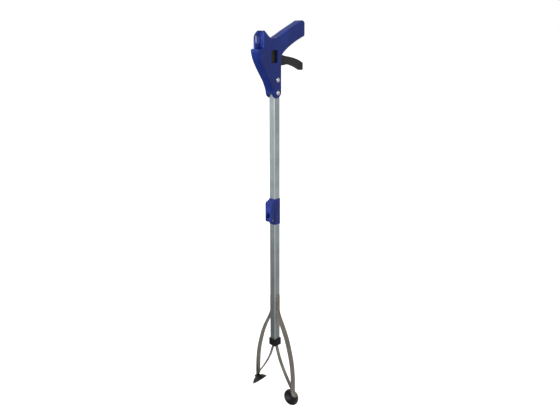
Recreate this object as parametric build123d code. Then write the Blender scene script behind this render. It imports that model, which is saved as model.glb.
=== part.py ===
from build123d import *
import math
import os

# Folding reacher grabber. Millimetres, +Z up along the tube, grip towards +X, jaws open along Y.
# The pieces are drawn about the tube's axis, with z = 0 at the top of the hanging ear, and are
# then moved so that the origin is the centre of the hanging eye.

# ---- tubes -----------------------------------------------------------------------------------
TUBE = 16.0             # outside of the square tube
TUBE_WALL = 1.2
TUBE_CORNER = 1.9
UPPER_TUBE_TOP = -76.0
UPPER_TUBE_END = -360.0
LOWER_TUBE_TOP = -392.0
LOWER_TUBE_END = -690.0

# ---- handle ----------------------------------------------------------------------------------
HANDLE_HALF = 12.0      # half the thickness of the handle
SHELL_WALL = 2.3
GRIP_END = 78.0
HANDLE_FRONT = 9.6
PLATE_CENTRE = (-3.0, -119.5)   # centre of the round lower end of the side plates
EAR_HALF = 2.25         # half the thickness of the hanging ear
EAR_BACK = -55.5
EYE = (-48.4, -15.0)    # centre of the hanging eye
EYE_WIDTH = 8.8
EYE_HEIGHT = 18.0
BACK_WALL_BOTTOM = -123.0
SCREW_SPOTS = [(66.0, 6.0), (32.0, -8.5), (-23.0, -19.0), (-22.0, -88.0)]
HANDLE_RIVETS = [(-1.0, -95.0), (-1.0, -121.0)]
WINDOW = [(-20.3, -61.0), (-2.8, -61.0), (-2.8, -36.0), (-17.3, -36.0), (-20.3, -38.5)]

# ---- trigger ---------------------------------------------------------------------------------
PIVOT = (-41.0, -48.0)  # trigger pivot
PIVOT_R = 2.0
TRIGGER_HALF = 6.3
ROD_PIN = (0.0, -54.5)  # pin between the trigger and the pull rod
ROD_PIN_R = 1.5
RUNNING = 0.05          # radial clearance of a running fit
TRIGGER_SLOT_HALF = 6.9

# ---- pull rod --------------------------------------------------------------------------------
ROD_R = 1.6
UPPER_ROD_END = -332.0
LOWER_ROD_TOP = -428.0
CABLE_R = 0.8
FERRULE_R = 2.8
FERRULE_LENGTH = 14.0
FORK_TOP = -662.0
FORK_PIN = (2.2, -683.5)    # distance from the middle and height of a strip's pin in the fork

# ---- fold hinge ------------------------------------------------------------------------------
HINGE = (-14.5, -391.0) # fold axis
HINGE_PIN_R = 2.0
BLOCK_HALF = 9.3
BLOCK_TOP = -345.0
BLOCK_SPLIT = -374.0
BLOCK_BOTTOM = -402.0
SPLIT_GAP = 0.3
KNUCKLE_R = 5.3
BULGE_BACK = HINGE[0] - KNUCKLE_R
BULGE_TOP = -350.0
TONGUE_HALF = 4.7
TONGUE_SLOT_HALF = 5.1

# ---- jaws ------------------------------------------------------------------------------------
ARM_WIDTH = 13.5
ARM_THICK = 1.1
ARM_TOP = -567.0
ARM_RIVETS = [(0.0, -573.0), (0.0, -600.0)]
ARM_HINGE = (40.0, -675.0)  # where the strip's bending is taken together
ARM_BEND_GAP = 0.3
CREASE = (58.0, -794.0)
FOOT_ANGLE = 45.0           # lean of the foot and of the cup
FOOT_LENGTH = 13.0
STRIP_WIDTH = 9.0
STRIP_THICK = 0.8
STRIP_TIP = (55.6, -788.6)
STRIP_BOW = 5.5
CAP_HALF = 10.5
CAP_TOP = -677.0
CAP_BOTTOM = -693.5
CUP_R = 19.0
CUP_DEPTH = 15.0            # from the foot to the rim


def box(x0, x1, y0, y1, z0, z1):
    centre = Pos((x0 + x1) / 2, (y0 + y1) / 2, (z0 + z1) / 2)
    return centre * Box(x1 - x0, y1 - y0, z1 - z0)


def side_plate(outline, y0, y1):
    """Solid with an outline in the XZ plane, from y0 to y1."""
    face = Plane.XZ * outline
    return Pos(0, y1, 0) * extrude(face, amount=y1 - y0, dir=(0, -1, 0))


def rod_y(x, z, radius, y0, y1):
    return Pos(x, (y0 + y1) / 2, z) * Rot(90, 0, 0) * Cylinder(radius, y1 - y0)


def rod_x(y, z, radius, x0, x1):
    return Pos((x0 + x1) / 2, y, z) * Rot(0, 90, 0) * Cylinder(radius, x1 - x0)


def rod_z(x, y, radius, z0, z1):
    return Pos(x, y, (z0 + z1) / 2) * Cylinder(radius, z1 - z0)


def square_bar(half, corner, z0, z1):
    face = RectangleRounded(2 * half, 2 * half, corner)
    return Pos(0, 0, z0) * extrude(face, amount=z1 - z0)


def mirror_y(shape):
    return mirror(shape, about=Plane.XZ)


# ---- handle shells ---------------------------------------------------------------------------

def handle_outline():
    """Side view of the thick part of the handle."""
    plate_r = HANDLE_FRONT - PLATE_CENTRE[0]
    plate_back = PLATE_CENTRE[0] - plate_r
    edges = Line((EAR_BACK, -33), (-46.5, -33))
    edges += RadiusArc((-46.5, -33), (-40.5, -27), -6)
    edges += Line((-40.5, -27), (-40.5, -3))
    edges += RadiusArc((-40.5, -3), (-36, 1.5), 4.5)
    edges += Spline((-36, 1.5), (-31, -3), (-25, -8.6), (-18.5, -12.5))
    edges += Line((-18.5, -12.5), (-3, -12.5))
    edges += Spline((-3, -12.5), (11, -6), (25, 1.2), (40, 8), (54, 14.2), (72, 21.8))
    edges += RadiusArc((72, 21.8), (GRIP_END, 16.5), 6)
    edges += Line((GRIP_END, 16.5), (GRIP_END, -6.5))
    edges += RadiusArc((GRIP_END, -6.5), (73.5, -10.8), 4.5)
    edges += Spline((73.5, -10.8), (53, -19.4), (32, -30.4), (19, -39.6), (HANDLE_FRONT, -48))
    edges += Line((HANDLE_FRONT, -48), (HANDLE_FRONT, PLATE_CENTRE[1]))
    edges += ThreePointArc(
        (HANDLE_FRONT, PLATE_CENTRE[1]),
        (PLATE_CENTRE[0], PLATE_CENTRE[1] - plate_r),
        (plate_back, PLATE_CENTRE[1]),
    )
    edges += Spline(
        (plate_back, PLATE_CENTRE[1]), (-24, -98), (-34, -83), (-43, -69), (-50.5, -55),
        (EAR_BACK, -33),
    )
    return make_face(edges)


def inner_outline(outline, wall):
    """The outline moved inwards by the wall, redrawn with plain splines."""
    edges = []
    for edge in offset(outline, amount=-wall).edges():
        if edge.geom_type in (GeomType.LINE, GeomType.CIRCLE):
            edges.append(edge)
        else:
            edges.append(Spline(*[edge @ (step / 10) for step in range(11)]))
    return make_face(edges)


def ear_outline():
    """Side view of the thin hanging ear."""
    edges = Polyline((-36.5, 1.5), (-30.5, -4.5), (-29.5, -27), (-36.5, -34), (EAR_BACK, -34), (EAR_BACK, -15))
    edges += Spline((EAR_BACK, -15), (-52.5, -7), (-47, -1.2), (-38, 1.5), tangents=[(0, 1), (1, 0)])
    edges += Line((-38, 1.5), (-36.5, 1.5))
    return make_face(edges)


def eye_outline():
    return Pos(EYE[0], EYE[1]) * SlotOverall(EYE_HEIGHT, EYE_WIDTH, rotation=90)


def trigger_way():
    """Opening in the front wall and the underside of the grip that the trigger swings through."""
    return Polygon((3, -68.2), (15, -68.2), (46, -29), (46, -12), (3, -20), align=None)


def near_shell_body():
    """One half of the handle, y from -HANDLE_HALF to 0, without screw holes."""
    outline = handle_outline()
    body = side_plate(outline, -HANDLE_HALF, 0)
    rim = body.faces().sort_by(Axis.Y)[0].edges()
    body = fillet(rim, 1.8)
    inside = inner_outline(outline, SHELL_WALL)
    cavity = side_plate(inside, -HANDLE_HALF + SHELL_WALL, 0)
    cavity -= box(-11, 20, -HANDLE_HALF, 0, -140, UPPER_TUBE_TOP)
    body -= cavity
    body += side_plate(ear_outline(), -EAR_HALF, 0)
    body -= side_plate(eye_outline(), -EAR_HALF, 0)
    body -= box(-TUBE / 2, TUBE / 2, -TUBE / 2, 0, -140, UPPER_TUBE_TOP)
    body -= box(-25, -TUBE / 2, -TUBE / 2, 0, -140, BACK_WALL_BOTTOM)
    window = Polygon(*WINDOW, align=None)
    body -= side_plate(window, -HANDLE_HALF - 1, -HANDLE_HALF + SHELL_WALL + 1)
    body -= side_plate(trigger_way(), -TRIGGER_SLOT_HALF, 0)
    for x, z in HANDLE_RIVETS:
        body -= rod_y(x, z, 2.45, -HANDLE_HALF - 1, 0)
    boss = rod_y(*PIVOT, 4.6, -HANDLE_HALF - 0.8, -TRIGGER_HALF - 0.3)
    body += boss - rod_y(*PIVOT, PIVOT_R + 0.02, -HANDLE_HALF + 0.6, 0)
    body -= rod_y(*PIVOT, PIVOT_R + 0.02, -HANDLE_HALF + 0.6, 0)
    return body


def near_handle_shell():
    body = near_shell_body()
    for x, z in SCREW_SPOTS:
        body += rod_y(x, z, 3.6, -HANDLE_HALF + 1, 0)
        body -= rod_y(x, z, 1.4, -HANDLE_HALF + 2.5, 0)
    return body


def far_handle_shell():
    body = mirror_y(near_shell_body())
    for x, z in SCREW_SPOTS:
        body += rod_y(x, z, 3.6, 0, HANDLE_HALF - 1)
        body -= rod_y(x, z, 1.7, 0, HANDLE_HALF + 1)
        body -= rod_y(x, z, 3.2, HANDLE_HALF - 3, HANDLE_HALF + 1)
    return body


def shell_screws():
    screws = []
    for x, z in SCREW_SPOTS:
        screw = rod_y(x, z, 1.4, -HANDLE_HALF + 3, HANDLE_HALF - 3)
        screw += rod_y(x, z, 3.0, HANDLE_HALF - 3, HANDLE_HALF - 0.8)
        cross = box(x - 1.6, x + 1.6, HANDLE_HALF - 1.9, HANDLE_HALF, z - 0.35, z + 0.35)
        cross += box(x - 0.35, x + 0.35, HANDLE_HALF - 1.9, HANDLE_HALF, z - 1.6, z + 1.6)
        screws.append(screw - cross)
    return Compound(screws)


def blind_rivet(grip_length, head_r, shank_r=2.4):
    """Blind rivet along +Z: head above z = 0, tail below the pieces it grips."""
    head = Pos(0, 0, -head_r * 0.95) * Sphere(head_r * 1.38)
    head &= Pos(0, 0, 1.0) * Cylinder(head_r, 2.0)
    shank = Pos(0, 0, -grip_length / 2) * Cylinder(shank_r, grip_length)
    tail = Pos(0, 0, -grip_length - 0.8) * Cylinder(shank_r + 0.8, 1.6)
    mandrel = Pos(0, 0, -1.0) * Cylinder(0.9, 6.0)
    return head + shank + tail - mandrel


def side_rivets(spots, face, grip_length, head_r, sides=(-1, 1)):
    """Blind rivets on the +Y and -Y sides, heads on y = +face and y = -face."""
    rivets = []
    for side in sides:
        for x, z in spots:
            turn = Rot(-90 * side, 0, 0)
            rivets.append(Pos(x, side * face, z) * turn * blind_rivet(grip_length, head_r))
    return Compound(rivets)


# ---- trigger and its pins --------------------------------------------------------------------

def trigger_outline():
    edges = Spline((-42, -40.6), (-31, -38), (-19, -34.6), (-3, -34.6), (HANDLE_FRONT, -43.2))
    edges += Spline((HANDLE_FRONT, -43.2), (24, -47.2), (39, -48.9), (55, -51.6), (68, -55.6), (77, -60.3))
    edges += RadiusArc((77, -60.3), (79, -64), 4)
    edges += Line((79, -64), (79, -73.5))
    edges += RadiusArc((79, -73.5), (74.5, -76.6), 3.2)
    edges += Spline((74.5, -76.6), (60, -70), (46, -66), (32, -64.3), (25, -65.9))
    edges += Spline((25, -65.9), (17, -67.2), (6, -66.6), (-20, -63), (-42, -55.4))
    edges += ThreePointArc((-42, -55.4), (-48.6, -48), (-42, -40.6))
    return make_face(edges)


def trigger():
    body = side_plate(trigger_outline(), -TRIGGER_HALF, TRIGGER_HALF)
    long_edges = body.edges().filter_by(lambda e: abs(abs(e.center().Y) - TRIGGER_HALF) < 0.01)
    body = fillet(long_edges, 1.5)
    body -= rod_y(*PIVOT, PIVOT_R + RUNNING, -10, 10)
    body -= rod_y(*ROD_PIN, ROD_PIN_R + 0.02, -5.5, 5.5)
    body -= box(-8.5, 4.5, -2.4, 2.4, -70, -48)
    return body


def trigger_pin():
    return rod_y(*PIVOT, PIVOT_R, -HANDLE_HALF + 0.6, HANDLE_HALF - 0.6)


def rod_pin():
    return rod_y(*ROD_PIN, ROD_PIN_R, -5.5, 5.5)


# ---- tubes, guides, pull rod -----------------------------------------------------------------

def square_tube(z0, z1):
    inner = TUBE / 2 - TUBE_WALL
    tube = square_bar(TUBE / 2, TUBE_CORNER, z0, z1)
    return tube - square_bar(inner, TUBE_CORNER - TUBE_WALL, z0, z1)


def front_rivet(z):
    turn = Rot(0, 90, 0)
    return Pos(BLOCK_HALF, 0, z) * turn * blind_rivet(BLOCK_HALF - TUBE / 2 + TUBE_WALL, 3.4, 1.9)


def upper_tube():
    tube = square_tube(UPPER_TUBE_END, UPPER_TUBE_TOP)
    for x, z in HANDLE_RIVETS:
        tube -= rod_y(x, z, 2.45, -TUBE, TUBE)
    return tube - rod_x(0, BLOCK_TOP - 6, 1.95, 0, TUBE)


def lower_tube():
    tube = square_tube(LOWER_TUBE_END, LOWER_TUBE_TOP)
    for x, z in ARM_RIVETS:
        tube -= rod_y(x, z, 2.45, -TUBE, TUBE)
    return tube - rod_x(0, BLOCK_BOTTOM + 6, 1.95, 0, TUBE)


def rod_guide(z_top, length=10.0):
    """Moulded bush that keeps the rod in the middle of the tube, with four relief grooves."""
    half = TUBE / 2 - TUBE_WALL
    bush = square_bar(half, TUBE_CORNER - TUBE_WALL, z_top - length, z_top)
    bush -= rod_z(0, 0, ROD_R + 0.15, z_top - length, z_top)
    for turn in range(4):
        groove = box(half - 2.2, half + 1, -1.5, 1.5, z_top - length, z_top)
        bush -= Rot(0, 0, 90 * turn) * groove
    return bush


def upper_pull_rod():
    """Rod with a flattened eye for the trigger's pin."""
    x, z = ROD_PIN
    rod = rod_z(0, 0, ROD_R, UPPER_ROD_END, z - 2.5)
    rod += rod_y(x, z, 3.5, -1.3, 1.3)
    hole = Pos(x + 0.25, 0) * SlotOverall(2 * ROD_PIN_R + 1.0, 2 * ROD_PIN_R + 0.4)
    return rod - side_plate(Pos(0, z) * hole, -ROD_R, ROD_R)


def lower_pull_rod():
    return rod_z(0, 0, ROD_R, FORK_TOP - 6, LOWER_ROD_TOP)


def ferrule(z_rod_end, towards):
    """Crimped sleeve between a rod's end and the cable; the cable leaves it up or down."""
    half = FERRULE_LENGTH / 2
    z0, z1 = z_rod_end - half, z_rod_end + half
    sleeve = rod_z(0, 0, FERRULE_R, z0, z1)
    sleeve = chamfer(sleeve.edges().filter_by(GeomType.CIRCLE), 0.6)
    sleeve -= rod_z(0, 0, CABLE_R + 0.02, z0, z1)
    if towards > 0:
        return sleeve - rod_z(0, 0, ROD_R, z0, z_rod_end)
    return sleeve - rod_z(0, 0, ROD_R, z_rod_end, z1)


def fold_cable():
    return rod_z(0, 0, CABLE_R, LOWER_ROD_TOP, UPPER_ROD_END)


def rod_fork():
    """Fork at the rod's lower end: two cheeks with the pins of the two inner strips."""
    y, z = FORK_PIN
    fork = box(-6.2, 6.2, -4.4, 4.4, z - 2, FORK_TOP)
    fork -= box(-4.8, 4.8, -5, 5, z - 3, FORK_TOP - 8)
    fork -= rod_z(0, 0, ROD_R, FORK_TOP - 6, FORK_TOP)
    for side in (-1, 1):
        fork -= rod_x(side * y, z, 0.92, -7, 7)
    return fork


def fork_pins():
    y, z = FORK_PIN
    return Compound([rod_x(side * y, z, 0.9, -6.2, 6.2) for side in (-1, 1)])


# ---- fold hinge ------------------------------------------------------------------------------

def block_bar(z0, z1):
    return square_bar(BLOCK_HALF, 3.8, z0, z1)


def cable_channel():
    return box(-5, 3, -2, 2, BLOCK_BOTTOM, BLOCK_TOP)


def upper_hinge_block():
    x, z = HINGE
    outline = Polyline((0, BULGE_TOP + 3), (-9, BULGE_TOP + 3), (BULGE_BACK + 6, BULGE_TOP))
    outline += RadiusArc((BULGE_BACK + 6, BULGE_TOP), (BULGE_BACK, BULGE_TOP - 6), -6)
    outline += Line((BULGE_BACK, BULGE_TOP - 6), (BULGE_BACK, z))
    outline += ThreePointArc((BULGE_BACK, z), (x, z - KNUCKLE_R), (x + KNUCKLE_R, z))
    outline += Polyline((x + KNUCKLE_R, z), (x + KNUCKLE_R, BLOCK_SPLIT), (0, BLOCK_SPLIT), (0, BULGE_TOP + 3))
    bulge = side_plate(make_face(outline), -BLOCK_HALF, BLOCK_HALF)
    back_edges = bulge.edges().filter_by(lambda e: abs(abs(e.center().Y) - BLOCK_HALF) < 0.01)
    bulge = fillet(back_edges, 1.4)
    block = block_bar(BLOCK_SPLIT, BLOCK_TOP) + bulge
    block -= square_bar(TUBE / 2, TUBE_CORNER, UPPER_TUBE_END, BLOCK_TOP)
    block -= cable_channel()
    block -= box(-30, x, -TONGUE_SLOT_HALF, TONGUE_SLOT_HALF, z - 8.5, z + 15.5)
    block -= rod_y(x, z, KNUCKLE_R + 0.4, -TONGUE_SLOT_HALF, TONGUE_SLOT_HALF)
    block -= box(x, 0, -TONGUE_SLOT_HALF, TONGUE_SLOT_HALF, z - 8.5, BLOCK_SPLIT)
    block -= rod_y(x, z, HINGE_PIN_R + 0.02, -12, 12)
    block -= box(-13.9, -9.9, -2.6, 2.6, BLOCK_SPLIT - 4, -368)
    return block - rod_x(0, BLOCK_TOP - 6, 1.95, 0, TUBE)


def lower_hinge_block():
    x, z = HINGE
    block = block_bar(BLOCK_BOTTOM, BLOCK_SPLIT - SPLIT_GAP)
    block -= rod_y(x, z, KNUCKLE_R + 0.6, -12, 12)
    block -= box(-30, x + KNUCKLE_R + 0.6, -12, 12, z, BLOCK_SPLIT)
    tongue = Polyline((x, z + 5), (-7, z + 5), (-7, z - 10), (x + 4.5, z - 8), (x + 2, z - 4.6))
    tongue += ThreePointArc((x + 2, z - 4.6), (x - 5, z), (x, z + 5))
    block += side_plate(make_face(tongue), -TONGUE_HALF, TONGUE_HALF)
    block -= square_bar(TUBE / 2, TUBE_CORNER, BLOCK_BOTTOM, LOWER_TUBE_TOP)
    block -= cable_channel()
    block -= rod_y(x, z, HINGE_PIN_R + RUNNING, -12, 12)
    notch = Polygon((x + 1.2, z + 6), (x + 4.2, z + 6), (x + 2.6, z + 3.4), align=None)
    block -= side_plate(notch, -TONGUE_HALF, TONGUE_HALF)
    return block - rod_x(0, BLOCK_BOTTOM + 6, 1.95, 0, TUBE)


def hinge_pin():
    x, z = HINGE
    pin = rod_y(x, z, HINGE_PIN_R, -BLOCK_HALF, BLOCK_HALF)
    return chamfer(pin.edges().filter_by(GeomType.CIRCLE), 0.4)


def detent_spring():
    """Bent leaf that rests in the notch of the tongue and holds the tube straight."""
    x, z = HINGE
    tip = (x + 2.6, z + 4.1)
    outer = [(-10.0, -368.2), (-10.0, z + 6.4), tip, (x + 1.0, z + 7.2)]
    inner = [(x + 1.5, z + 7.4), (x + 2.65, z + 5.0), (-10.4, z + 6.6), (-10.4, -368.2)]
    return side_plate(Polygon(*outer, *inner, align=None), -2.5, 2.5)


# ---- jaws ------------------------------------------------------------------------------------

def curve_side(points, shift, tangents):
    """Spline beside a smooth centre line, at a constant distance."""
    centre = Spline(*points, tangents=tangents)
    count = 4 * (len(points) - 1)
    shifted = []
    for step in range(count + 1):
        at = centre @ (step / count)
        along = centre % (step / count)
        shifted.append((at.X - along.Y * shift, at.Y + along.X * shift))
    return shifted


def bent_strip(points, tangents, thick, width):
    """Strip of sheet metal on the +Y side whose centre line is given as (y, z) points."""
    one = curve_side(points, thick / 2, tangents)
    other = curve_side(points, -thick / 2, tangents)
    edges = Spline(*one) + Line(one[-1], other[-1]) + Spline(*other) + Line(other[0], one[0])
    face = Plane.YZ * make_face(edges)
    return Pos(-width / 2, 0, 0) * extrude(face, amount=width, dir=(1, 0, 0))


def arm_direction():
    """Slope of the outer arm at its bending line."""
    lean = math.radians(20.5)
    return math.sin(lean), -math.cos(lean)


def arm_root():
    """Upper half of the outer arm, riveted flat on the tube and then curving away."""
    dy, dz = arm_direction()
    face = TUBE / 2 + ARM_THICK / 2
    low = ARM_TOP - 40
    end = (ARM_HINGE[0] - dy * ARM_BEND_GAP, ARM_HINGE[1] - dz * ARM_BEND_GAP)
    leaf = box(-ARM_WIDTH / 2, ARM_WIDTH / 2, TUBE / 2, TUBE / 2 + ARM_THICK, low, ARM_TOP)
    corners = leaf.edges().filter_by(Axis.Y).sort_by(Axis.Z)[-2:]
    leaf = fillet(corners, 5.0)
    points = [(face, low), (9.6, -611.5), (14.0, -622), (22.2, -637), (31.8, -655.5), end]
    leaf += bent_strip(points, [(0, -1), (dy, dz)], ARM_THICK, ARM_WIDTH)
    for x, z in ARM_RIVETS:
        leaf -= rod_y(x, z, 2.45, 0, 20)
    return leaf


def foot_middle():
    """Middle of the foot as (y, z)."""
    lean = math.radians(FOOT_ANGLE)
    return CREASE[0] + math.sin(lean) * 7.0, CREASE[1] - math.cos(lean) * 7.0


def outer_arm():
    """Lower half of the outer arm, with the foot that carries the cup."""
    dy, dz = arm_direction()
    start = (ARM_HINGE[0] + dy * ARM_BEND_GAP, ARM_HINGE[1] + dz * ARM_BEND_GAP)
    points = [start, (47.6, -700), (52.8, -721), (56.2, -744), (57.8, -768), CREASE]
    arm = bent_strip(points, [(dy, dz), (0, -1)], ARM_THICK, ARM_WIDTH)
    foot = Pos(0, 0, -FOOT_LENGTH / 2) * Box(ARM_WIDTH, ARM_THICK, FOOT_LENGTH)
    ends = foot.edges().filter_by(Axis.Y).sort_by(Axis.Z)[:2]
    foot = fillet(ends, 6.2)
    foot = Pos(0, CREASE[0], CREASE[1]) * Rot(FOOT_ANGLE, 0, 0) * foot
    arm += foot
    arm += rod_x(CREASE[0], CREASE[1], ARM_THICK / 2, -ARM_WIDTH / 2, ARM_WIDTH / 2)
    return arm - cup_axis_place() * Cylinder(1.65, 4)


def cup_axis_place():
    """Placement whose origin is the foot's middle and whose +Z is the way the cup faces."""
    y, z = foot_middle()
    return Pos(0, y, z) * Rot(180 - FOOT_ANGLE, 0, 0)


def suction_cup():
    """Rubber cup: neck under the foot, bell, thin lip."""
    top = ARM_THICK / 2
    outside = [(4.6, top), (4.6, 3.6), (6.4, 5.6), (11.0, 8.2), (15.2, 11.2), (18.2, 13.8)]
    edges = Line((1.65, top), outside[0])
    edges += Polyline(*outside[:2])
    edges += Spline(*outside[1:])
    edges += Polyline(outside[-1], (CUP_R, CUP_DEPTH), (18.2, CUP_DEPTH))
    edges += Spline((18.2, CUP_DEPTH), (13.0, 11.4), (7.0, 8.2), (0, 7.0))
    edges += Polyline((0, 7.0), (0, 5.0), (1.65, 5.0), (1.65, top))
    cup = revolve(Plane.XZ * make_face(edges), Axis.Z)
    return cup_axis_place() * cup


def cup_rivet():
    top = ARM_THICK / 2
    rivet = Pos(0, 0, (5.0 - top) / 2) * Cylinder(1.63, 5.0 + top)
    head = Pos(0, 0, -top - 0.5) * Cylinder(3.2, 1.0)
    head = fillet(head.edges().filter_by(GeomType.CIRCLE).sort_by(Axis.Z)[0], 0.6)
    return cup_axis_place() * (rivet + head)


def inner_strip():
    """Inner strip with a rolled eye on the fork's pin, bowed towards the middle."""
    y, z = FORK_PIN
    length = math.dist(FORK_PIN, STRIP_TIP)
    along = ((STRIP_TIP[0] - y) / length, (STRIP_TIP[1] - z) / length)
    inward = (along[1], -along[0])
    middle = (
        (y + STRIP_TIP[0]) / 2 + inward[0] * STRIP_BOW,
        (z + STRIP_TIP[1]) / 2 + inward[1] * STRIP_BOW,
    )
    start = (y + along[0] * 1.4, z + along[1] * 1.4 - 0.2)
    steep = (0.16, -1)
    strip = bent_strip([start, middle, STRIP_TIP], [steep, (0.75, -1)], STRIP_THICK, STRIP_WIDTH)
    strip += rod_x(y, z, 1.75, -STRIP_WIDTH / 2, STRIP_WIDTH / 2)
    return strip - rod_x(y, z, 0.96, -STRIP_WIDTH, STRIP_WIDTH)


def end_cap():
    cap = square_bar(CAP_HALF, 3.2, CAP_BOTTOM, CAP_TOP)
    low = cap.faces().sort_by(Axis.Z)[0].edges()
    cap = chamfer(low, 0.8)
    cap -= square_bar(TUBE / 2, TUBE_CORNER, LOWER_TUBE_END, CAP_TOP)
    return cap - square_bar(6.6, 1.5, CAP_BOTTOM, LOWER_TUBE_END)


# ---- all nodes -------------------------------------------------------------------------------

def all_nodes():
    wall = HANDLE_HALF - TUBE / 2 + TUBE_WALL
    arm_rivets = side_rivets(ARM_RIVETS, TUBE / 2 + ARM_THICK, ARM_THICK + TUBE_WALL, 3.6, (1,))
    far = {
        "arm_root": arm_root(),
        "outer_arm": outer_arm(),
        "arm_rivets": arm_rivets,
        "inner_strip": inner_strip(),
        "suction_cup": suction_cup(),
        "cup_rivet": cup_rivet(),
    }
    nodes = {
        "near_handle_shell": near_handle_shell(),
        "far_handle_shell": far_handle_shell(),
        "shell_screws": shell_screws(),
        "handle_rivets": side_rivets(HANDLE_RIVETS, HANDLE_HALF, wall, 4.6),
        "trigger": trigger(),
        "trigger_pin": trigger_pin(),
        "rod_pin": rod_pin(),
        "upper_tube": upper_tube(),
        "upper_rod_guide": rod_guide(UPPER_TUBE_TOP),
        "upper_pull_rod": upper_pull_rod(),
        "upper_ferrule": ferrule(UPPER_ROD_END, -1),
        "fold_cable": fold_cable(),
        "lower_ferrule": ferrule(LOWER_ROD_TOP, 1),
        "upper_hinge_block": upper_hinge_block(),
        "upper_hinge_rivet": front_rivet(BLOCK_TOP - 6),
        "hinge_pin": hinge_pin(),
        "detent_spring": detent_spring(),
        "lower_hinge_block": lower_hinge_block(),
        "lower_hinge_rivet": front_rivet(BLOCK_BOTTOM + 6),
        "lower_tube": lower_tube(),
        "lower_rod_guide": rod_guide(-540.0),
        "lower_pull_rod": lower_pull_rod(),
        "rod_fork": rod_fork(),
        "fork_pins": fork_pins(),
        "end_cap": end_cap(),
    }
    for name, shape in far.items():
        nodes["far_" + name] = shape
        nodes["near_" + name] = mirror_y(shape)
    return nodes


def main():
    os.makedirs("parts", exist_ok=True)
    to_eye = Pos(-EYE[0], 0, -EYE[1])
    for name, shape in all_nodes().items():
        placed = to_eye * shape
        solids = placed.solids()
        whole = solids[0] if len(solids) == 1 else Compound(solids)
        export_step(whole, "parts/" + name + ".step")
        print(name, len(solids), round(sum(s.volume for s in solids), 1))


main()
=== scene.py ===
import math

import bmesh
import bpy
from mathutils import Matrix, Vector


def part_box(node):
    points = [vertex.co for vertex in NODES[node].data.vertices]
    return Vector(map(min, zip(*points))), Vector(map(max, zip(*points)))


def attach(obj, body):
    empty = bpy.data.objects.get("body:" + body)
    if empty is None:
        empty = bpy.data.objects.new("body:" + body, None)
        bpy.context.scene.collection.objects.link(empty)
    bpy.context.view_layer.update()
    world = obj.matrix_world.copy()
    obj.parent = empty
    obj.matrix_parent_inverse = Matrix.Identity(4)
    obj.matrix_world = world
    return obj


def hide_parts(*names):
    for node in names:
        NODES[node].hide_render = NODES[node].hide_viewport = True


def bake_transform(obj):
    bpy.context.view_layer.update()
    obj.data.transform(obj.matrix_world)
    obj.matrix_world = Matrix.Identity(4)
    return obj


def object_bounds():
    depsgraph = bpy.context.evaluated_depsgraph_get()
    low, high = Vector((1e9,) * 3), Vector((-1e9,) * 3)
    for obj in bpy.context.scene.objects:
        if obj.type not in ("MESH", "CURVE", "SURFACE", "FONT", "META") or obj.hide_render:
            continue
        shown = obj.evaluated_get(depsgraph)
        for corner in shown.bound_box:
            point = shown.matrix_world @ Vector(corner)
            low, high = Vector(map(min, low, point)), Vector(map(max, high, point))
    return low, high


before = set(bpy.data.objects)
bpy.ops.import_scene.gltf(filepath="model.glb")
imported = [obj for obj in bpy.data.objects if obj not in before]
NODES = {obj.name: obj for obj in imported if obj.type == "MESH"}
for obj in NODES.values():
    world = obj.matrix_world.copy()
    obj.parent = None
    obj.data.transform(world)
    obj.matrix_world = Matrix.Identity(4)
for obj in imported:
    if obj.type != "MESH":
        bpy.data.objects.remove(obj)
CAD_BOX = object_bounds()
scene = bpy.context.scene

# Lengths below are in millimetres from the tube's axis (x, y) and from the top of the hanging
# ear (z), as the tube's own box gives them. at() turns them into the frame's metres.
MM = 0.001
MERGE = 2e-6            # metres: points nearer than this are one point
TUBE_TOP = -76.0        # top of the upper tube
TUBE_WALL = 1.2
TUBE_CORNER = 1.9
TUBE_LO, TUBE_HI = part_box("upper_tube")
AXIS_X = (TUBE_LO.x + TUBE_HI.x) / 2
TOP_Z = TUBE_HI.z - TUBE_TOP * MM


def at(x, y, z):
    return Vector((AXIS_X + x * MM, y * MM, TOP_Z + z * MM))


def box_mm(node):
    """A CAD node's box in the millimetres used here."""
    lo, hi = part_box(node)
    low = ((lo.x - AXIS_X) / MM, lo.y / MM, (lo.z - TOP_Z) / MM)
    high = ((hi.x - AXIS_X) / MM, hi.y / MM, (hi.z - TOP_Z) / MM)
    return low, high


# ---- materials -------------------------------------------------------------------------------

def srgb(r, g, b):
    """Linear colour of an 8-bit screen colour."""
    def one(v):
        v /= 255
        return v / 12.92 if v <= 0.04045 else ((v + 0.055) / 1.055) ** 2.4
    return one(r), one(g), one(b), 1.0


def add_node(tree, kind, **values):
    """New node; each value goes to the input of that name, or else to the property."""
    node = tree.nodes.new(kind)
    for key, value in values.items():
        if key in node.inputs:
            node.inputs[key].default_value = value
        else:
            setattr(node, key, value)
    return node


def noise_node(tree, coords, scale, stretch=(1, 1, 1), detail=4.0):
    """Noise factor over the object's own metres, finer along an axis with a larger stretch."""
    mapping = add_node(tree, "ShaderNodeMapping", Scale=stretch)
    tree.links.new(coords, mapping.inputs["Vector"])
    noise = add_node(tree, "ShaderNodeTexNoise", Scale=scale, Detail=detail, Roughness=0.6)
    tree.links.new(mapping.outputs["Vector"], noise.inputs["Vector"])
    return noise.outputs["Fac"]


def ramp(tree, fac, stops):
    """Colour that follows a factor, from stops of (place, colour)."""
    node = add_node(tree, "ShaderNodeValToRGB")
    elements = node.color_ramp.elements
    while len(elements) > len(stops):
        elements.remove(elements[-1])
    while len(elements) < len(stops):
        elements.new(0.5)
    for element, (where, colour) in zip(elements, stops):
        element.position = where
        element.color = colour
    tree.links.new(fac, node.inputs["Fac"])
    return node.outputs["Color"]


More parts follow.
